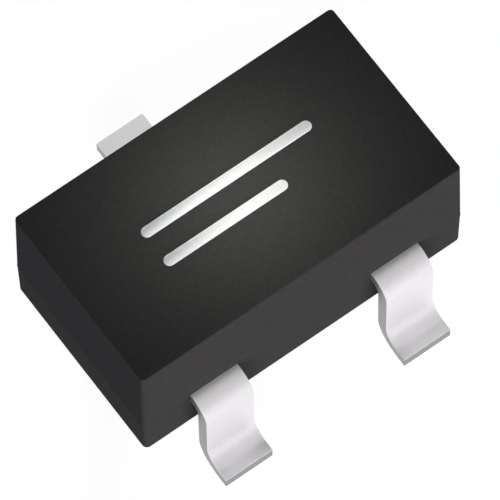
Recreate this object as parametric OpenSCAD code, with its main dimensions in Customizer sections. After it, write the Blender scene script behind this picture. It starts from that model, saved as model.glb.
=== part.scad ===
// Three-lead surface-mount transistor, moulded round its leadframe.
// The feet stand on z = 0. The two front leads point to -Y and the rear lead to +Y.

/* [Moulded body] */
// Length of the body at its parting line
body_length = 2.9; // [2.7:0.05:3.2]
// Width of the body at its parting line, from front to rear
body_width = 1.64; // [1.5:0.02:1.9]
// Height of the body from its underside to its top
body_height = 1.26; // [1.0:0.02:1.5]
// Height of the underside above the board
stand_off = 0.45; // [0.1:0.05:0.6]
// Draft of the side faces above and below the parting line, in degrees
draft_angle = 1; // [0.5:0.25:2.5]
// Radius of the upright corners at the parting line
corner_radius = 0.05; // [0.05:0.01:0.2]

/* [Leads] */
// Width of a lead
lead_width = 0.43; // [0.3:0.01:0.5]
// Thickness of the leadframe strip
lead_thickness = 0.11; // [0.1:0.01:0.18]
// Height of the top of the leadframe above the underside of the body
lead_level = 0.48; // [0.3:0.01:0.6]
// Distance between the centres of the two front leads
lead_pitch = 1.64; // [1.4:0.02:2]
// Reach of the front leads beyond the body
front_reach = 0.43; // [0.4:0.01:0.8]
// Reach of the rear lead beyond the body
rear_reach = 0.73; // [0.4:0.01:0.9]
// Straight stretch between the body and the shoulder bend
shoulder_run = 0.01; // [0.01:0.01:0.08]
// Inner radius of the shoulder bend
shoulder_radius = 0.08; // [0.03:0.01:0.1]
// Inner radius of the foot bend
foot_radius = 0.15; // [0.04:0.01:0.2]

/* [Leadframe inside the body] */
// Length of the die paddle, along the body
paddle_length = 1.1; // [0.8:0.05:1.6]
// Width of the die paddle, across the body
paddle_width = 0.55; // [0.5:0.01:0.65]
// Distance from the rear of the body to the die paddle
paddle_inset = 0.3; // [0.2:0.01:0.4]
// Gap between the die paddle and the bond posts
post_gap = 0.18; // [0.12:0.01:0.25]
// Depth of a bond post, from front to rear
post_depth = 0.24; // [0.18:0.01:0.26]
// Reach of a bond post from its lead towards the middle of the body
post_reach = 0.3; // [0.2:0.01:0.4]

/* [Die and bond wires] */
// Side of the square die
die_side = 0.36; // [0.3:0.01:0.44]
// Height of the die
die_height = 0.15; // [0.1:0.01:0.2]
// Thickness of the die attach film
attach_thickness = 0.02; // [0.01:0.005:0.03]
// Width of the fillet of film that shows round the die
attach_margin = 0.03; // [0.01:0.005:0.03]
// Distance between the base and emitter pads on the die
pad_spacing = 0.2; // [0.12:0.01:0.24]
// Diameter of a bond wire
wire_diameter = 0.03; // [0.02:0.005:0.05]
// Straight rise of a bond wire above its ball
wire_rise = 0.08; // [0.05:0.01:0.12]
// Radius of the loop of a bond wire
loop_radius = 0.07; // [0.05:0.01:0.1]
// Diameter of the flattened ball on the die
ball_diameter = 0.08; // [0.06:0.005:0.1]
// Height of the flattened ball
ball_height = 0.02; // [0.015:0.005:0.03]

/* [Hidden] */
$fn = 64;

// The body stands off the middle by half the difference between the two reaches
body_y = (front_reach - rear_reach) / 2;
body_front = body_y - body_width / 2;
body_rear = body_y + body_width / 2;
frame_top = stand_off + lead_level;
frame_bottom = frame_top - lead_thickness;
parting_z = frame_top - lead_thickness / 2;
body_top = stand_off + body_height;

paddle_rear = body_rear - paddle_inset;
paddle_front = paddle_rear - paddle_width;
paddle_y = (paddle_rear + paddle_front) / 2;
post_rear = paddle_front - post_gap;
post_front = post_rear - post_depth;
post_y = (post_rear + post_front) / 2;
post_inner = lead_pitch / 2 - lead_width / 2 - post_reach;

die_bottom = frame_top + attach_thickness;
die_top = die_bottom + die_height;

wire_sides = 8;
loop_steps = 8;
// Horizontal run of a bond wire, from its pad on the die to the middle of its post's inner arm
stitch_x = post_inner + post_reach / 2;
run_x = stitch_x - pad_spacing / 2;
run_y = paddle_y - post_y;
wire_run = sqrt(run_x * run_x + run_y * run_y);
wire_turn = atan2(run_x, run_y);
// The loop's centre, and the slope of the straight that leaves the loop and ends on the post
loop_z = die_top + wire_rise;
loop_drop = loop_z - frame_top;
loop_out = wire_run - loop_radius;
loop_reach = sqrt(loop_drop * loop_drop + loop_out * loop_out);
wire_slope = atan2(loop_drop, loop_out) + asin(loop_radius / loop_reach);

// Half of the body between its parting line and one flat face, drafted, with conical corners
module body_half(height) {
    lean = height * tan(draft_angle);
    half_length = body_length / 2;
    half_width = body_width / 2;
    corner_x = half_length - corner_radius;
    corner_y = half_width - corner_radius;
    rotate([90, 0, 0])
        linear_extrude(height = 2 * corner_y, center = true)
            drafted_outline(half_length, lean, height);
    rotate([90, 0, 90])
        linear_extrude(height = 2 * corner_x, center = true)
            drafted_outline(half_width, lean, height);
    for (x = [-corner_x, corner_x], y = [-corner_y, corner_y])
        translate([x, y, 0])
            cylinder(h = height, r1 = corner_radius, r2 = corner_radius - lean);
}

module drafted_outline(half, lean, height) {
    polygon([[-half, 0], [half, 0], [half - lean, height], [lean - half, height]]);
}

module body_form() {
    translate([0, body_y, parting_z])
        body_half(body_top - parting_z);
    translate([0, body_y, parting_z])
        mirror([0, 0, 1])
            body_half(parting_z - stand_off);
}

// Quarter of a bend, in the quadrant that quarter_turns picks, round its own centre
module bend(inner_radius, quarter_turns) {
    outer_radius = inner_radius + lead_thickness;
    rotate(90 * quarter_turns)
        intersection() {
            difference() {
                circle(r = outer_radius);
                circle(r = inner_radius);
            }
            square(outer_radius);
        }
}

// Side view of a lead outside the body: x is the distance from the body, y the height
module lead_profile(reach) {
    drop_in = shoulder_run + shoulder_radius;
    drop_out = drop_in + lead_thickness;
    shoulder_z = frame_bottom - shoulder_radius;
    foot_z = lead_thickness + foot_radius;
    foot_x = drop_out + foot_radius;
    translate([0, frame_bottom])
        square([shoulder_run, lead_thickness]);
    translate([shoulder_run, shoulder_z])
        bend(shoulder_radius, 0);
    translate([drop_in, foot_z])
        square([lead_thickness, shoulder_z - foot_z]);
    translate([foot_x, foot_z])
        bend(foot_radius, 2);
    translate([foot_x, 0])
        square([reach - foot_x, lead_thickness]);
}

// A formed lead whose inner end lies at x = 0, y = 0 and which leaves the body towards -Y
module formed_lead(reach) {
    rotate([90, 0, -90])
        linear_extrude(height = lead_width, center = true)
            lead_profile(reach);
}

// A flat area of the leadframe strip, from one corner to the other
module strip(from, to) {
    translate([from.x, from.y, frame_bottom])
        cube([to.x - from.x, to.y - from.y, lead_thickness]);
}

// The front lead on the +X side, with a bond post that locks it in the body
module front_lead() {
    lead_x = lead_pitch / 2;
    outer_x = lead_x + lead_width / 2;
    translate([lead_x, body_front, 0])
        formed_lead(front_reach);
    strip([lead_x - lead_width / 2, body_front], [outer_x, post_rear]);
    strip([post_inner, post_front], [outer_x, post_rear]);
}

module base_lead() {
    color("gainsboro")
        mirror([1, 0, 0])
            front_lead();
}

module emitter_lead() {
    color("gainsboro")
        front_lead();
}

module collector_lead() {
    color("gainsboro") {
        translate([0, body_rear, 0])
            rotate(180)
                formed_lead(rear_reach);
        strip([-lead_width / 2, paddle_rear], [lead_width / 2, body_rear]);
        strip([-paddle_length / 2, paddle_front], [paddle_length / 2, paddle_rear]);
    }
}

module die_attach() {
    side = die_side + 2 * attach_margin;
    color("silver")
        translate([-side / 2, paddle_y - side / 2, frame_top])
            cube([side, side, attach_thickness]);
}

module transistor_die() {
    color("slategray")
        translate([-die_side / 2, paddle_y - die_side / 2, die_bottom])
            cube([die_side, die_side, die_height]);
}

// Points of a wire's ring, given its centre, its upper direction and its stretch in that direction
function ring(centre, upper, stretch) = [
    for (i = [0 : wire_sides - 1])
        let (turn = 360 * i / wire_sides, across = wire_diameter / 2 * cos(turn))
        let (along = stretch * wire_diameter / 2 * sin(turn))
        [across, centre[0] + along * upper[0], centre[1] + along * upper[1]]
];

// Rings up the neck, round the loop and down to the post, where the last one lies flat
function wire_rings() = concat(
    [ring([0, die_top + ball_height / 2], [-1, 0], 1)],
    [
        for (i = [0 : loop_steps])
            let (turn = i / loop_steps * (90 + wire_slope), upper = [-cos(turn), sin(turn)])
            ring([loop_radius, loop_z] + loop_radius * upper, upper, 1)
    ],
    [ring([wire_run, frame_top], [1, 0], 1 / sin(wire_slope))]
);

module wire_tube() {
    rings = wire_rings();
    count = len(rings);
    sides = [
        for (i = [0 : count - 2], j = [0 : wire_sides - 1])
            let (a = i * wire_sides + j, b = i * wire_sides + (j + 1) % wire_sides)
            [a, b, b + wire_sides, a + wire_sides]
    ];
    start = [for (j = [wire_sides - 1 : -1 : 0]) j];
    end = [for (j = [0 : wire_sides - 1]) (count - 1) * wire_sides + j];
    polyhedron(points = [for (one = rings, point = one) point], faces = concat(sides, [start, end]));
}

// The bond wire on the +X side: flattened ball on the die, then the looped wire
module bond_wire() {
    translate([pad_spacing / 2, paddle_y, 0]) {
        translate([0, 0, die_top])
            cylinder(h = ball_height, d = ball_diameter);
        rotate(180 + wire_turn)
            wire_tube();
    }
}

module base_bond_wire() {
    color("gold")
        mirror([1, 0, 0])
            bond_wire();
}

module emitter_bond_wire() {
    color("gold")
        bond_wire();
}

module moulded_body() {
    color("#2c2b2a")
        difference() {
            body_form();
            base_lead();
            emitter_lead();
            collector_lead();
            die_attach();
            transistor_die();
            base_bond_wire();
            emitter_bond_wire();
        }
}

moulded_body();
base_lead();
emitter_lead();
collector_lead();
transistor_die();
die_attach();
base_bond_wire();
emitter_bond_wire();
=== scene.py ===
import math

import bmesh
import bpy
from mathutils import Matrix, Vector


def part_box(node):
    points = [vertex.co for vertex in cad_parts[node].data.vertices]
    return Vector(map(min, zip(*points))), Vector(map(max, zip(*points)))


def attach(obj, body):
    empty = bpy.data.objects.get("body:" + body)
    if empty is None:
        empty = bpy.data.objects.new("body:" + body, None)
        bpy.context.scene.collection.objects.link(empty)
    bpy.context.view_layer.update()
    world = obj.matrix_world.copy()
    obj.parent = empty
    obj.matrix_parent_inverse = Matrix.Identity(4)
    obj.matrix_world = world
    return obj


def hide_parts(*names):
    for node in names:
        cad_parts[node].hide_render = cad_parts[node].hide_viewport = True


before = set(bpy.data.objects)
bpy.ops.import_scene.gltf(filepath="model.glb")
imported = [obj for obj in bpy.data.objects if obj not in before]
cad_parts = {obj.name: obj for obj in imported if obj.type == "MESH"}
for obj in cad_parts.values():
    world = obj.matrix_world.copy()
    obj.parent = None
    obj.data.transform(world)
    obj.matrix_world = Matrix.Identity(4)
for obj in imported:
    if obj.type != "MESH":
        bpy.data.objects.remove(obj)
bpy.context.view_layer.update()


# Leads. Flat blanks stamped from copper alloy strip and plated with matt tin. Their inner ends, two
# bond posts in front and the die paddle behind, are moulded into the body. Outside it, each lead is
# bent down and out again to a foot that is soldered to the board.
mm = 0.001
micron = 0.000001
body_low, body_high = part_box("moulded_body")
base_low, base_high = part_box("base_lead")
collector_low, collector_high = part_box("collector_lead")

strip_thickness = 0.11 * mm
lead_width = 0.43 * mm
shoulder_run = 0.01 * mm
shoulder_radius = 0.08 * mm
foot_radius = 0.15 * mm
post_depth = 0.24 * mm
paddle_depth = 0.55 * mm
bend_steps = 24
sheared_corner = 0.008 * mm
sheared_corner_steps = 3
round_profile = 0.5
sharp_edge = math.radians(60)
plated_normal_z = 0.6

# Radii, levels and lengths of the middle of the strip, which keeps its length when it is bent
shoulder_bend = shoulder_radius + strip_thickness / 2
foot_bend = foot_radius + strip_thickness / 2
strip_level = base_high.z - strip_thickness / 2
foot_level = strip_thickness / 2
drop = strip_level - foot_level - shoulder_bend - foot_bend

tin_grey = "#fbf9fa"
tin_shade = "#f1eff0"
edge_grey = "#a9a9aa"
edge_shade = "#98979a"
tin_grain = 0.03 * mm
rolling_line = 0.02 * mm
rolling_length = 0.5 * mm
shear_mark = 0.025 * mm
shear_length = 0.25 * mm

# Sockets of a Mix node for colours, which have the same names as those for numbers
colour_a = 6
colour_b = 7
colour_out = 2


def linear(colour):
    """Linear red, green, blue and alpha of an sRGB hex colour"""
    parts = [int(colour[i:i + 2], 16) / 255 for i in (1, 3, 5)]
    return [c / 12.92 if c <= 0.04045 else ((c + 0.055) / 1.055) ** 2.4 for c in parts] + [1.0]


def add_node(tree, kind, inputs=None, **settings):
    """Adds a node, sets its properties, and gives its inputs a value or a link each"""
    node = tree.nodes.new(kind)
    for name, value in settings.items():
        setattr(node, name, value)
    for socket, value in (inputs or {}).items():
        if isinstance(value, bpy.types.NodeSocket):
            tree.links.new(value, node.inputs[socket])
        else:
            node.inputs[socket].default_value = value
    return node


def new_material(name):
    """A node material without nodes, and its tree"""
    material = bpy.data.materials.new(name)
    material.use_nodes = True
    material.node_tree.nodes.clear()
    return material, material.node_tree


def lead_stations(inner_end, widening, reach):
    """Places along a flat blank, from its inner end to its tip, close together where it will be bent"""
    stations = [-inner_end, -widening, 0.0, shoulder_run]
    foot_length = reach - shoulder_run - shoulder_bend - foot_bend
    for bend, straight in ((shoulder_bend, drop), (foot_bend, foot_length)):
        arc = bend * math.pi / 2
        start = stations[-1]
        stations += [start + arc * step / bend_steps for step in range(1, bend_steps + 1)]
        stations.append(stations[-1] + straight)
    return stations


def stamped_blank(name, across, along, widened):
    """Flat blank as it leaves the stamping die: a strip of cells, wider at its inner end"""
    form = bmesh.new()
    corners = {}
    for column in range(len(across) - 1):
        rows = 1 if column in widened else len(along) - 1
        for row in range(rows):
            places = [(column, row), (column + 1, row), (column + 1, row + 1), (column, row + 1)]
            for i, j in places:
                if (i, j) not in corners:
                    corners[i, j] = form.verts.new((across[i], along[j], -strip_thickness / 2))
            form.faces.new([corners[place] for place in places])
    upper = bmesh.ops.extrude_face_region(form, geom=form.faces[:], use_keep_orig=True)["geom"]
    upper_corners = [v for v in upper if isinstance(v, bmesh.types.BMVert)]
    bmesh.ops.translate(form, vec=(0, 0, strip_thickness), verts=upper_corners)
    bmesh.ops.recalc_face_normals(form, faces=form.faces[:])
    bmesh.ops.bevel(
        form,
        geom=[e for e in form.edges if e.calc_face_angle(0) > sharp_edge],
        offset=sheared_corner,
        segments=sheared_corner_steps,
        profile=round_profile,
        affect="EDGES",
    )
    form.normal_update()
    sheared = form.faces.layers.bool.new("sheared")
    for face in form.faces:
        face[sheared] = abs(face.normal.z) < plated_normal_z
        face.smooth = True
    mesh = bpy.data.meshes.new(name)
    form.to_mesh(mesh)
    form.free()
    piece = bpy.data.objects.new(name, mesh)
    bpy.context.scene.collection.objects.link(piece)
    return piece


def lead_forming_tree():
    """Bends a flat blank down at the shoulder and out at the heel, then sets it at its place on the body"""
    tree = bpy.data.node_groups.new("Form a lead", "GeometryNodeTree")
    tree.is_modifier = True
    tree.interface.new_socket("Geometry", in_out="OUTPUT", socket_type="NodeSocketGeometry")
    tree.interface.new_socket("Blank", in_out="INPUT", socket_type="NodeSocketGeometry")
    lengths = ("Inner End", "Shoulder Run", "Shoulder Bend", "Foot Bend", "Strip Level", "Foot Level")
    for size in lengths + ("Reach", "Turn"):
        tree.interface.new_socket(size, in_out="INPUT", socket_type="NodeSocketFloat")
    tree.interface.new_socket("Bend Steps", in_out="INPUT", socket_type="NodeSocketInt")
    tree.interface.new_socket("Place", in_out="INPUT", socket_type="NodeSocketVector")
    for finish in ("Plated Faces", "Sheared Edges"):
        tree.interface.new_socket(finish, in_out="INPUT", socket_type="NodeSocketMaterial")
    given = add_node(tree, "NodeGroupInput").outputs

    # The path of the middle of the strip has four corners, and a bend at the two between its ends
    index = add_node(tree, "GeometryNodeInputIndex").outputs["Index"]
    drop_inputs = {0: given["Shoulder Run"], 1: given["Shoulder Bend"]}
    drop_y = add_node(tree, "ShaderNodeMath", drop_inputs).outputs[0]
    inner_inputs = {0: given["Inner End"], 1: -1.0}
    inner_y = add_node(tree, "ShaderNodeMath", inner_inputs, operation="MULTIPLY").outputs[0]
    levels = (
        (inner_y, given["Strip Level"]),
        (drop_y, given["Strip Level"]),
        (drop_y, given["Foot Level"]),
        (given["Reach"], given["Foot Level"]),
    )
    corner = add_node(tree, "GeometryNodeIndexSwitch", {"Index": index}, data_type="VECTOR")
    radius = add_node(tree, "GeometryNodeIndexSwitch", {"Index": index}, data_type="FLOAT")
    for switch in (corner, radius):
        while len(switch.index_switch_items) < len(levels):
            switch.index_switch_items.new()
    for place, (y, z) in enumerate(levels):
        point = add_node(tree, "ShaderNodeCombineXYZ", {"Y": y, "Z": z})
        tree.links.new(point.outputs[0], corner.inputs[str(place)])
    tree.links.new(given["Shoulder Bend"], radius.inputs["1"])
    tree.links.new(given["Foot Bend"], radius.inputs["2"])
    line = add_node(tree, "GeometryNodeMeshLine", {"Count": len(levels)})
    path = add_node(tree, "GeometryNodeMeshToCurve", {"Mesh": line.outputs[0]})
    cornered_inputs = {"Geometry": path.outputs[0], "Position": corner.outputs[0]}
    path = add_node(tree, "GeometryNodeSetPosition", cornered_inputs)
    path_inputs = {"Curve": path.outputs[0], "Count": given["Bend Steps"], "Radius": radius.outputs[0]}
    path = add_node(tree, "GeometryNodeFilletCurve", path_inputs, mode="POLY")

    # The flat place is kept for the patterns that follow the strip
    position = add_node(tree, "GeometryNodeInputPosition").outputs[0]
    flat_inputs = {"Geometry": given["Blank"], "Name": "flat_place", "Value": position}
    flat = add_node(tree, "GeometryNodeStoreNamedAttribute", flat_inputs, data_type="FLOAT_VECTOR")

    # Each point goes to its length along the path, and off it by its height in the flat blank
    place = add_node(tree, "ShaderNodeSeparateXYZ", {0: position}).outputs
    length = add_node(tree, "ShaderNodeMath", {0: place["Y"], 1: given["Inner End"]}).outputs[0]
    bent_inputs = {"Curves": path.outputs[0], "Length": length}
    bent = add_node(tree, "GeometryNodeSampleCurve", bent_inputs, mode="LENGTH", use_all_curves=True)
    across = {0: (1.0, 0.0, 0.0), 1: bent.outputs["Tangent"]}
    upward = add_node(tree, "ShaderNodeVectorMath", across, operation="CROSS_PRODUCT")
    height_inputs = {0: upward.outputs[0], "Scale": place["Z"]}
    height = add_node(tree, "ShaderNodeVectorMath", height_inputs, operation="SCALE")
    aside = add_node(tree, "ShaderNodeCombineXYZ", {"X": place["X"]})
    offset = add_node(tree, "ShaderNodeVectorMath", {0: height.outputs[0], 1: aside.outputs[0]})
    target = add_node(tree, "ShaderNodeVectorMath", {0: bent.outputs["Position"], 1: offset.outputs[0]})
    formed_inputs = {"Geometry": flat.outputs[0], "Position": target.outputs[0]}
    formed = add_node(tree, "GeometryNodeSetPosition", formed_inputs)
    turn = add_node(tree, "ShaderNodeCombineXYZ", {"Z": given["Turn"]})
    set_inputs = {"Geometry": formed.outputs[0], "Translation": given["Place"], "Rotation": turn.outputs[0]}
    placed = add_node(tree, "GeometryNodeTransform", set_inputs)

    # Plate covers all of it but the sheared edges
    real = add_node(tree, "GeometryNodeRealizeInstances", {0: placed.outputs[0]})
    plated_inputs = {"Geometry": real.outputs[0], "Material": given["Plated Faces"]}
    plated = add_node(tree, "GeometryNodeSetMaterial", plated_inputs)
    sheared = add_node(tree, "GeometryNodeInputNamedAttribute", {"Name": "sheared"}, data_type="BOOLEAN")
    edge_inputs = {
        "Geometry": plated.outputs[0],
        "Selection": sheared.outputs[0],
        "Material": given["Sheared Edges"],
    }
    edged = add_node(tree, "GeometryNodeSetMaterial", edge_inputs)
    add_node(tree, "NodeGroupOutput", {0: edged.outputs[0]})
    return tree


def finished_mesh(piece):
    """Applies a piece's modifiers, so that it is a plain mesh at the origin"""
    depsgraph = bpy.context.evaluated_depsgraph_get()
    mesh = bpy.data.meshes.new_from_object(piece.evaluated_get(depsgraph), depsgraph=depsgraph)
    mesh.name = piece.name
    piece.modifiers.clear()
    piece.data = mesh


# Matt tin plate on rolled strip: bright pale grey. The plating's grain softens the reflections and
# scatters part of the light. It is some 5 microns wide and is drawn coarser, so that it shows.
tin_plate, tree = new_material("matt tin plate")
flat_place = add_node(tree, "ShaderNodeAttribute", attribute_name="flat_place").outputs["Vector"]
grain = add_node(tree, "ShaderNodeTexNoise", {"Vector": flat_place, "Scale": 1 / tin_grain, "Detail": 3.0})
lengthwise_scale = (1 / rolling_line, 1 / rolling_length, 1)
lengthwise = add_node(tree, "ShaderNodeMapping", {"Vector": flat_place, "Scale": lengthwise_scale})
rolling_inputs = {"Vector": lengthwise.outputs[0], "Scale": 1.0, "Detail": 2.0}
rolling = add_node(tree, "ShaderNodeTexNoise", rolling_inputs)
colour_inputs = {"Factor": grain.outputs["Fac"], colour_a: linear(tin_shade), colour_b: linear(tin_grey)}
colour = add_node(tree, "ShaderNodeMix", colour_inputs, data_type="RGBA")
rough_inputs = {"Value": rolling.outputs["Fac"], "To Min": 0.48, "To Max": 0.58}
rough = add_node(tree, "ShaderNodeMapRange", rough_inputs)
relief = add_node(tree, "ShaderNodeMath", {0: grain.outputs["Fac"], 1: rolling.outputs["Fac"]})
bump_inputs = {"Strength": 0.25, "Distance": 1.5 * micron, "Height": relief.outputs[0]}
bump = add_node(tree, "ShaderNodeBump", bump_inputs)
surface = {
    "Base Color": colour.outputs[colour_out],
    "Metallic": 0.68,
    "Roughness": rough.outputs[0],
    "Normal": bump.outputs[0],
}
shader = add_node(tree, "ShaderNodeBsdfPrincipled", surface)
add_node(tree, "ShaderNodeOutputMaterial", {"Surface": shader.outputs[0]})

# Sheared edges: the same metal torn through its thickness, so duller and darker, with upright scores
sheared_edge, tree = new_material("sheared strip edge")
flat_place = add_node(tree, "ShaderNodeAttribute", attribute_name="flat_place").outputs["Vector"]
upright_scale = (1 / shear_mark, 1 / shear_mark, 1 / shear_length)
upright = add_node(tree, "ShaderNodeMapping", {"Vector": flat_place, "Scale": upright_scale})
scores = add_node(tree, "ShaderNodeTexNoise", {"Vector": upright.outputs[0], "Scale": 1.0, "Detail": 3.0})
colour_inputs = {"Factor": scores.outputs["Fac"], colour_a: linear(edge_shade), colour_b: linear(edge_grey)}
colour = add_node(tree, "ShaderNodeMix", colour_inputs, data_type="RGBA")
rough_inputs = {"Value": scores.outputs["Fac"], "To Min": 0.42, "To Max": 0.56}
rough = add_node(tree, "ShaderNodeMapRange", rough_inputs)
bump_inputs = {"Strength": 0.3, "Distance": 2 * micron, "Height": scores.outputs["Fac"]}
bump = add_node(tree, "ShaderNodeBump", bump_inputs)
surface = {
    "Base Color": colour.outputs[colour_out],
    "Metallic": 1.0,
    "Roughness": rough.outputs[0],
    "Normal": bump.outputs[0],
}
shader = add_node(tree, "ShaderNodeBsdfPrincipled", surface)
add_node(tree, "ShaderNodeOutputMaterial", {"Surface": shader.outputs[0]})

half_lead = lead_width / 2
front_reach = body_low.y - base_low.y
rear_reach = collector_high.y - body_high.y
post_end = base_high.y - body_low.y
paddle_end = body_high.y - collector_low.y
post_side = base_high.x - base_low.x - half_lead
paddle_side = collector_high.x
front_x = -base_low.x - half_lead

# The lines across each blank, the columns that are only in its widened end, and how the blank is set
leads = {
    "base_lead": {
        "across": [-post_side, -half_lead, half_lead],
        "widened": [0],
        "inner_end": post_end,
        "depth": post_depth,
        "reach": front_reach,
        "turn": math.pi,
        "place": (-front_x, body_low.y, 0.0),
    },
    "emitter_lead": {
        "across": [-half_lead, half_lead, post_side],
        "widened": [1],
        "inner_end": post_end,
        "depth": post_depth,
        "reach": front_reach,
        "turn": math.pi,
        "place": (front_x, body_low.y, 0.0),
    },
    "collector_lead": {
        "across": [-paddle_side, -half_lead, half_lead, paddle_side],
        "widened": [0, 2],
        "inner_end": paddle_end,
        "depth": paddle_depth,
        "reach": rear_reach,
        "turn": 0.0,
        "place": (0.0, body_high.y, 0.0),
    },
}
forming = lead_forming_tree()
identifiers = {s.name: s.identifier for s in forming.interface.items_tree if s.in_out == "INPUT"}
lead_pieces = []
for node, plan in leads.items():
    widening = plan["inner_end"] - plan["depth"]
    along = lead_stations(plan["inner_end"], widening, plan["reach"])
    lead = stamped_blank("formed_" + node, plan["across"], along, plan["widened"])
    bending = lead.modifiers.new("Form a lead", "NODES")
    bending.node_group = forming
    sizes = {
        "Inner End": plan["inner_end"],
        "Shoulder Run": shoulder_run,
        "Shoulder Bend": shoulder_bend,
        "Foot Bend": foot_bend,
        "Strip Level": strip_level,
        "Foot Level": foot_level,
        "Reach": plan["reach"],
        "Turn": plan["turn"],
        "Bend Steps": bend_steps,
        "Place": plan["place"],
        "Plated Faces": tin_plate,
        "Sheared Edges": sheared_edge,
    }
    for size, value in sizes.items():
        bending[identifiers[size]] = value
    lead.modifiers.new("Flat faces stay flat", "WEIGHTED_NORMAL")
    finished_mesh(lead)
    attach(lead, "root")
    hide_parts(node)
    lead_pieces.append(lead)


# Die attach. A film of epoxy filled with silver flake, dispensed on the paddle and cured under the
# die, which squeezes a narrow fillet out all round.
flake = 0.012 * mm
flake_silver = "#c9c6bf"
flake_shade = "#8f8c86"

# Silver-filled epoxy: dull grey, with the glints of flakes that lie at all angles
film, tree = new_material("silver-filled epoxy")
coords = add_node(tree, "ShaderNodeTexCoord").outputs["Object"]
flakes = add_node(tree, "ShaderNodeTexVoronoi", {"Vector": coords, "Scale": 1 / flake}).outputs["Distance"]
colour_inputs = {"Factor": flakes, colour_a: linear(flake_silver), colour_b: linear(flake_shade)}
colour = add_node(tree, "ShaderNodeMix", colour_inputs, data_type="RGBA")
bump = add_node(tree, "ShaderNodeBump", {"Strength": 0.4, "Distance": 2 * micron, "Height": flakes})
surface = {
    "Base Color": colour.outputs[colour_out],
    "Metallic": 0.6,
    "Roughness": 0.5,
    "Normal": bump.outputs[0],
}
shader = add_node(tree, "ShaderNodeBsdfPrincipled", surface)
add_node(tree, "ShaderNodeOutputMaterial", {"Surface": shader.outputs[0]})
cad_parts["die_attach"].material_slots[0].material = film


# Die. A square of polished silicon, sawn from its wafer and pressed into the attach film.
# It is the part's only working piece: its two junctions make the transistor.
saw_mark = 0.006 * mm
saw_length = 0.06 * mm
silicon_grey = "#5a6272"
silicon_light = "#6d7687"

# Polished silicon: a dark bluish mirror, scored along its sides by the saw
silicon, tree = new_material("polished silicon")
coords = add_node(tree, "ShaderNodeTexCoord").outputs["Object"]
sawn_scale = (1 / saw_length, 1 / saw_length, 1 / saw_mark)
sawn = add_node(tree, "ShaderNodeMapping", {"Vector": coords, "Scale": sawn_scale})
scored = add_node(tree, "ShaderNodeTexNoise", {"Vector": sawn.outputs[0], "Scale": 1.0, "Detail": 2.0})
colour_inputs = {
    "Factor": scored.outputs["Fac"],
    colour_a: linear(silicon_grey),
    colour_b: linear(silicon_light),
}
colour = add_node(tree, "ShaderNodeMix", colour_inputs, data_type="RGBA")
rough_inputs = {"Value": scored.outputs["Fac"], "To Min": 0.08, "To Max": 0.22}
rough = add_node(tree, "ShaderNodeMapRange", rough_inputs)
surface = {"Base Color": colour.outputs[colour_out], "Metallic": 0.8, "Roughness": rough.outputs[0]}
shader = add_node(tree, "ShaderNodeBsdfPrincipled", surface)
add_node(tree, "ShaderNodeOutputMaterial", {"Surface": shader.outputs[0]})
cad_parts["transistor_die"].material_slots[0].material = silicon


# Bond wires. Drawn gold, 30 microns thick, melted to a ball on the die, looped over and pressed flat
# on the bond post.
draw_line = 0.008 * mm
gold_shade = "#e0b45a"
gold_light = "#efc873"

# Drawn gold: bright yellow, faintly mottled by the drawing die
gold, tree = new_material("drawn gold")
coords = add_node(tree, "ShaderNodeTexCoord").outputs["Object"]
drawn = add_node(tree, "ShaderNodeTexNoise", {"Vector": coords, "Scale": 1 / draw_line, "Detail": 2.0})
colour_inputs = {"Factor": drawn.outputs["Fac"], colour_a: linear(gold_shade), colour_b: linear(gold_light)}
colour = add_node(tree, "ShaderNodeMix", colour_inputs, data_type="RGBA")
rough_inputs = {"Value": drawn.outputs["Fac"], "To Min": 0.15, "To Max": 0.28}
rough = add_node(tree, "ShaderNodeMapRange", rough_inputs)
surface = {"Base Color": colour.outputs[colour_out], "Metallic": 1.0, "Roughness": rough.outputs[0]}
shader = add_node(tree, "ShaderNodeBsdfPrincipled", surface)
add_node(tree, "ShaderNodeOutputMaterial", {"Surface": shader.outputs[0]})
for node in ("base_bond_wire", "emitter_bond_wire"):
    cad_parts[node].material_slots[0].material = gold


# Body. Black epoxy filled with silica, moulded in one shot round the leadframe in a two-part mould
# that parts at the middle of the leads, so its sides lean in above and below that line.
draft = math.radians(1)
body_corner = 0.05 * mm
body_edge = 0.012 * mm
corner_steps = 10
edge_steps = 4
flash_height = 0.012 * mm
flash_proud = 0.002 * mm
parting_z = strip_level
body_middle = (body_low + body_high) / 2
half_length = (body_high.x - body_low.x) / 2
half_width = (body_high.y - body_low.y) / 2
weld_distance = 0.01 * micron
crease_angle = math.radians(40)

epoxy_black = "#403f3e"
epoxy_light = "#454443"
filler_grain = 0.035 * mm
mould_grain = 0.022 * mm


def body_outline(inset, z):
    """Points round the body at one level, anticlockwise from above"""
    radius = body_corner - inset
    points = []
    for quarter, (side_x, side_y) in enumerate(((1, 1), (-1, 1), (-1, -1), (1, -1))):
        centre_x = body_middle.x + side_x * (half_length - body_corner)
        centre_y = body_middle.y + side_y * (half_width - body_corner)
        for step in range(corner_steps + 1):
            angle = (quarter + step / corner_steps) * math.pi / 2
            points.append((centre_x + radius * math.cos(angle), centre_y + radius * math.sin(angle), z))
    return points


def rounded_rim(face_z, inward):
    """Outlines over a rounded rim, from the side of the body to its flat face"""
    lean = abs(face_z - parting_z) * math.tan(draft)
    rim = []
    for step in range(edge_steps + 1):
        angle = math.pi / 2 * step / edge_steps
        inset = lean + body_edge * (1 - math.cos(angle))
        rim.append(body_outline(inset, face_z - inward * body_edge * (1 - math.sin(angle))))
    return rim


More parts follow.
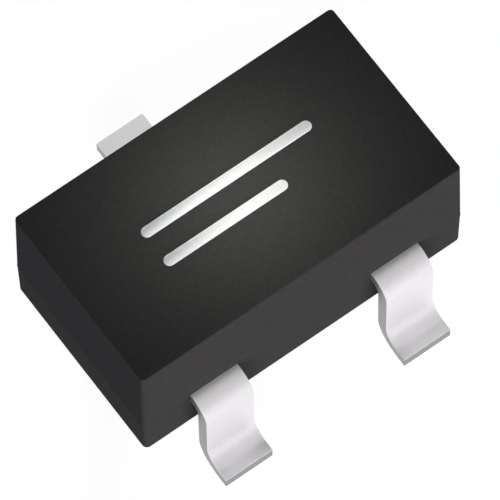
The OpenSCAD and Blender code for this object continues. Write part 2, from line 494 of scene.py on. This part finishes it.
def loft(name, outlines):
    """Closed mesh through outlines from bottom to top"""
    form = bmesh.new()
    rings = [[form.verts.new(point) for point in outline] for outline in outlines]
    count = len(rings[0])
    for lower, upper in zip(rings, rings[1:]):
        for i in range(count):
            form.faces.new((lower[i], lower[(i + 1) % count], upper[(i + 1) % count], upper[i]))
    form.faces.new(reversed(rings[0]))
    form.faces.new(rings[-1])
    for face in form.faces:
        face.smooth = True
    mesh = bpy.data.meshes.new(name)
    form.to_mesh(mesh)
    form.free()
    piece = bpy.data.objects.new(name, mesh)
    bpy.context.scene.collection.objects.link(piece)
    return piece


outlines = rounded_rim(body_low.z, -1)[::-1]
outlines.append(body_outline(0.0, parting_z - flash_height / 2))
outlines.append(body_outline(-flash_proud, parting_z))
outlines.append(body_outline(0.0, parting_z + flash_height / 2))
outlines += rounded_rim(body_high.z, 1)
body = loft("epoxy_body", outlines)

# The compound flows round the leadframe, the die and the wires, which leave their shape in it
inner_copies = []
for node in ("die_attach", "transistor_die", "base_bond_wire", "emitter_bond_wire"):
    merged = bmesh.new()
    merged.from_mesh(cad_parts[node].data)
    bmesh.ops.remove_doubles(merged, verts=merged.verts[:], dist=weld_distance)
    mesh = bpy.data.meshes.new(node + "_hollow")
    merged.to_mesh(mesh)
    merged.free()
    inner_copy = bpy.data.objects.new(node + "_hollow", mesh)
    bpy.context.scene.collection.objects.link(inner_copy)
    inner_copies.append(inner_copy)
for hollow in lead_pieces + inner_copies:
    cut = body.modifiers.new("Flow round " + hollow.name, "BOOLEAN")
    cut.operation = "DIFFERENCE"
    cut.solver = "EXACT"
    cut.object = hollow
finished_mesh(body)
for inner_copy in inner_copies:
    bpy.data.objects.remove(inner_copy)
body.data.set_sharp_from_angle(angle=crease_angle)
body.modifiers.new("Flat faces stay flat", "WEIGHTED_NORMAL").keep_sharp = True
finished_mesh(body)

# Moulded epoxy: near black and dead matt, with the fine texture of the spark-eroded mould and the grey
# points of its silica filler. Real grains are a third of this width, too fine to show.
epoxy, tree = new_material("moulded epoxy")
coords = add_node(tree, "ShaderNodeTexCoord").outputs["Object"]
filler = add_node(tree, "ShaderNodeTexNoise", {"Vector": coords, "Scale": 1 / filler_grain, "Detail": 4.0})
speck_inputs = {"Value": filler.outputs["Fac"], "From Min": 0.35, "From Max": 0.75}
speck = add_node(tree, "ShaderNodeMapRange", speck_inputs)
colour_inputs = {"Factor": speck.outputs[0], colour_a: linear(epoxy_black), colour_b: linear(epoxy_light)}
colour = add_node(tree, "ShaderNodeMix", colour_inputs, data_type="RGBA")
texture = add_node(tree, "ShaderNodeTexNoise", {"Vector": coords, "Scale": 1 / mould_grain, "Detail": 2.0})
rough_inputs = {"Value": texture.outputs["Fac"], "To Min": 0.85, "To Max": 0.95}
rough = add_node(tree, "ShaderNodeMapRange", rough_inputs)
bump_inputs = {"Strength": 0.25, "Distance": 2 * micron, "Height": texture.outputs["Fac"]}
bump = add_node(tree, "ShaderNodeBump", bump_inputs)
surface = {
    "Base Color": colour.outputs[colour_out],
    "Specular IOR Level": 0.01,
    "Roughness": rough.outputs[0],
    "Normal": bump.outputs[0],
}
shader = add_node(tree, "ShaderNodeBsdfPrincipled", surface)
add_node(tree, "ShaderNodeOutputMaterial", {"Surface": shader.outputs[0]})
body.data.materials.clear()
body.data.materials.append(epoxy)
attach(body, "root")
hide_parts("moulded_body")


# Marking. White ink stamped on the top of the body and cured: two plain bars along its middle, a long
# one and a short one, which carry no words.
ink_height = 0.006 * mm
ink_depth = 1 * micron
ink_white = "#f4f4f2"
ink_shade = "#e6e6e4"
ink_grain = 0.03 * mm
bar_radius = 0.045 * mm
bar_spacing = 0.28 * mm
bar_start = -0.76 * mm
long_bar_end = 0.76 * mm
short_bar_end = 0.34 * mm
round_steps = 24


def bar_outline(radius, end, y, z):
    """Outline of a bar with round ends, anticlockwise from above"""
    points = []
    for step in range(2 * round_steps):
        angle = math.pi * (step + 0.5) / round_steps - math.pi / 2
        centre = end - bar_radius if math.cos(angle) > 0 else bar_start + bar_radius
        points.append((centre + radius * math.cos(angle), y + radius * math.sin(angle), z))
    return points


ink_base = body_high.z - ink_depth
ink_top = body_high.z + ink_height
bars = {
    "long_ink_bar": (long_bar_end, body_middle.y + bar_spacing / 2),
    "short_ink_bar": (short_bar_end, body_middle.y - bar_spacing / 2),
}
marks = []
for name, (end, y) in bars.items():
    outlines = [
        bar_outline(bar_radius, end, y, ink_base),
        bar_outline(bar_radius, end, y, ink_top - ink_height / 2),
        bar_outline(bar_radius - ink_height / 2, end, y, ink_top),
    ]
    marks.append(loft(name, outlines))

# Cured ink: even, flat white, a little thinner where the mould's texture stands up through it
ink, tree = new_material("cured white ink")
coords = add_node(tree, "ShaderNodeTexCoord").outputs["Object"]
cover = add_node(tree, "ShaderNodeTexNoise", {"Vector": coords, "Scale": 1 / ink_grain, "Detail": 3.0})
colour_inputs = {"Factor": cover.outputs["Fac"], colour_a: linear(ink_shade), colour_b: linear(ink_white)}
colour = add_node(tree, "ShaderNodeMix", colour_inputs, data_type="RGBA")
rough_inputs = {"Value": cover.outputs["Fac"], "To Min": 0.45, "To Max": 0.6}
rough = add_node(tree, "ShaderNodeMapRange", rough_inputs)
bump_inputs = {"Strength": 0.2, "Distance": 1 * micron, "Height": cover.outputs["Fac"]}
bump = add_node(tree, "ShaderNodeBump", bump_inputs)
surface = {
    "Base Color": colour.outputs[colour_out],
    "Specular IOR Level": 0.1,
    "Roughness": rough.outputs[0],
    "Normal": bump.outputs[0],
}
shader = add_node(tree, "ShaderNodeBsdfPrincipled", surface)
add_node(tree, "ShaderNodeOutputMaterial", {"Surface": shader.outputs[0]})
for mark in marks:
    mark.data.materials.append(ink)
    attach(mark, "root")


# Table. A wide sheet of white card under the part. What the eye and the tin see of it is mostly an
# even white, and a little of its own lit surface, which takes the shadow.
floor_size = 400 * mm
floor_gap = 1 * micron
card_white = "#e2e2e2"
even_white = 0.86


def seen_rays(tree):
    """1 for rays from the eye, off shiny surfaces and through clear ones, 0 for those that only light"""
    rays = add_node(tree, "ShaderNodeLightPath").outputs
    seen_inputs = {0: rays["Is Camera Ray"], 1: rays["Is Glossy Ray"]}
    seen = add_node(tree, "ShaderNodeMath", seen_inputs, operation="MAXIMUM")
    seen_inputs = {0: seen.outputs[0], 1: rays["Is Transmission Ray"]}
    return add_node(tree, "ShaderNodeMath", seen_inputs, operation="MAXIMUM").outputs[0]


floor_form = bmesh.new()
bmesh.ops.create_grid(floor_form, x_segments=1, y_segments=1, size=floor_size / 2)
bmesh.ops.translate(floor_form, vec=(0, 0, -floor_gap), verts=floor_form.verts[:])
floor_mesh = bpy.data.meshes.new("white_card")
floor_form.to_mesh(floor_mesh)
floor_form.free()
floor = bpy.data.objects.new("white_card", floor_mesh)
bpy.context.scene.collection.objects.link(floor)

card, tree = new_material("white card")
glow = add_node(tree, "ShaderNodeMath", {0: seen_rays(tree), 1: even_white}, operation="MULTIPLY")
lit = add_node(tree, "ShaderNodeBsdfDiffuse", {"Color": linear(card_white)})
even = add_node(tree, "ShaderNodeEmission", {"Strength": glow.outputs[0]})
both = add_node(tree, "ShaderNodeAddShader", {0: lit.outputs[0], 1: even.outputs[0]})
add_node(tree, "ShaderNodeOutputMaterial", {"Surface": both.outputs[0]})
floor_mesh.materials.append(card)


# Light. A room, mirrored in the tin, that is white at table level and greyer overhead in front. A wide
# low lamp in front and two small ones, at the left and behind to the right, light the sides. One close
# over the body lays a soft sheen on the middle of its top.
room_white = "#ffffff"
front_level = 0.65
rear_level = 0.95
room_fill = 0.036
top_middle = Vector((body_middle.x, body_middle.y, body_high.z))
key_place = Vector((-20, -92, 12)) * mm
left_place = Vector((-95, 10, 12)) * mm
rear_place = Vector((70, 65, 12)) * mm
sheen_place = top_middle + Vector((0, 0, 1.12)) * mm
key_width = 180 * mm
lamp_side = 22 * mm
sheen_side = 0.5 * mm
key_power = 0.124
left_power = 0.0077
rear_power = 0.0446
sheen_power = 0.0000129
lamp_white = "#fbf8ff"
window_blue = "#a4deff"
sheen_white = "#fbfffb"

world = bpy.data.worlds.new("white room")
world.use_nodes = True
tree = world.node_tree
tree.nodes.clear()
direction = add_node(tree, "ShaderNodeTexCoord").outputs["Generated"]
toward = add_node(tree, "ShaderNodeSeparateXYZ", {0: direction}).outputs
overhead_inputs = {
    "Value": toward["Y"],
    "From Min": -0.6,
    "From Max": 0.2,
    "To Min": front_level,
    "To Max": rear_level,
}
overhead = add_node(tree, "ShaderNodeMapRange", overhead_inputs)
height_inputs = {"Value": toward["Z"], "From Max": 0.4, "To Min": 1.0, "To Max": overhead.outputs[0]}
shown = add_node(tree, "ShaderNodeMapRange", height_inputs)
level_inputs = {"Value": seen_rays(tree), "To Min": room_fill, "To Max": shown.outputs[0]}
level = add_node(tree, "ShaderNodeMapRange", level_inputs)
room = add_node(tree, "ShaderNodeBackground", {"Color": linear(room_white), "Strength": level.outputs[0]})
add_node(tree, "ShaderNodeOutputWorld", {"Surface": room.outputs[0]})
bpy.context.scene.world = world


def soft_lamp(name, place, aim, width, height, power, colour):
    """Lamp that faces a point and is not seen itself"""
    data = bpy.data.lights.new(name, "AREA")
    data.shape = "RECTANGLE"
    data.size = width
    data.size_y = height
    data.energy = power
    data.color = linear(colour)[:3]
    lamp = bpy.data.objects.new(name, data)
    facing = (place - aim).to_track_quat("Z", "Y").to_matrix().to_4x4()
    lamp.matrix_world = Matrix.Translation(place) @ facing
    lamp.visible_camera = False
    lamp.visible_glossy = False
    bpy.context.scene.collection.objects.link(lamp)


soft_lamp("key lamp", key_place, body_middle, key_width, lamp_side, key_power, lamp_white)
soft_lamp("left lamp", left_place, body_middle, lamp_side, lamp_side, left_power, window_blue)
soft_lamp("rear lamp", rear_place, body_middle, lamp_side, lamp_side, rear_power, lamp_white)
soft_lamp("sheen lamp", sheen_place, top_middle, sheen_side, sheen_side, sheen_power, sheen_white)


# Camera. A long lens from the front left, high over the part, turned a little about its own axis.
# The picture is square, and the lens is worked out from how large a millimetre shows in it.
view_azimuth = math.radians(-34.865)
view_elevation = math.radians(66.316)
view_roll = math.radians(-1.231)
view_distance = 60 * mm
view_aside = 0.074 * mm
view_above = 0.272 * mm
pixels_per_mm = 133.604
picture_pixels = 500
sensor = 36
nearest_seen = 1 * mm
farthest_seen = 10000 * mm

back = Vector((
    math.sin(view_azimuth) * math.cos(view_elevation),
    -math.cos(view_azimuth) * math.cos(view_elevation),
    math.sin(view_elevation),
))
level_right = Vector((math.cos(view_azimuth), math.sin(view_azimuth), 0))
level_up = back.cross(level_right)
right = math.cos(view_roll) * level_right + math.sin(view_roll) * level_up
up = math.cos(view_roll) * level_up - math.sin(view_roll) * level_right
aim = Vector((body_middle.x, body_middle.y, 0)) + view_aside * right + view_above * up

camera_data = bpy.data.cameras.new("camera")
camera_data.sensor_width = sensor
camera_data.lens = pixels_per_mm * view_distance / mm / picture_pixels * sensor
camera_data.clip_start = nearest_seen
camera_data.clip_end = farthest_seen
camera = bpy.data.objects.new("camera", camera_data)
turned = Matrix((right, up, back)).transposed().to_4x4()
camera.matrix_world = Matrix.Translation(aim + view_distance * back) @ turned
bpy.context.scene.collection.objects.link(camera)
bpy.context.scene.camera = camera
bpy.context.scene.view_settings.view_transform = "Standard"
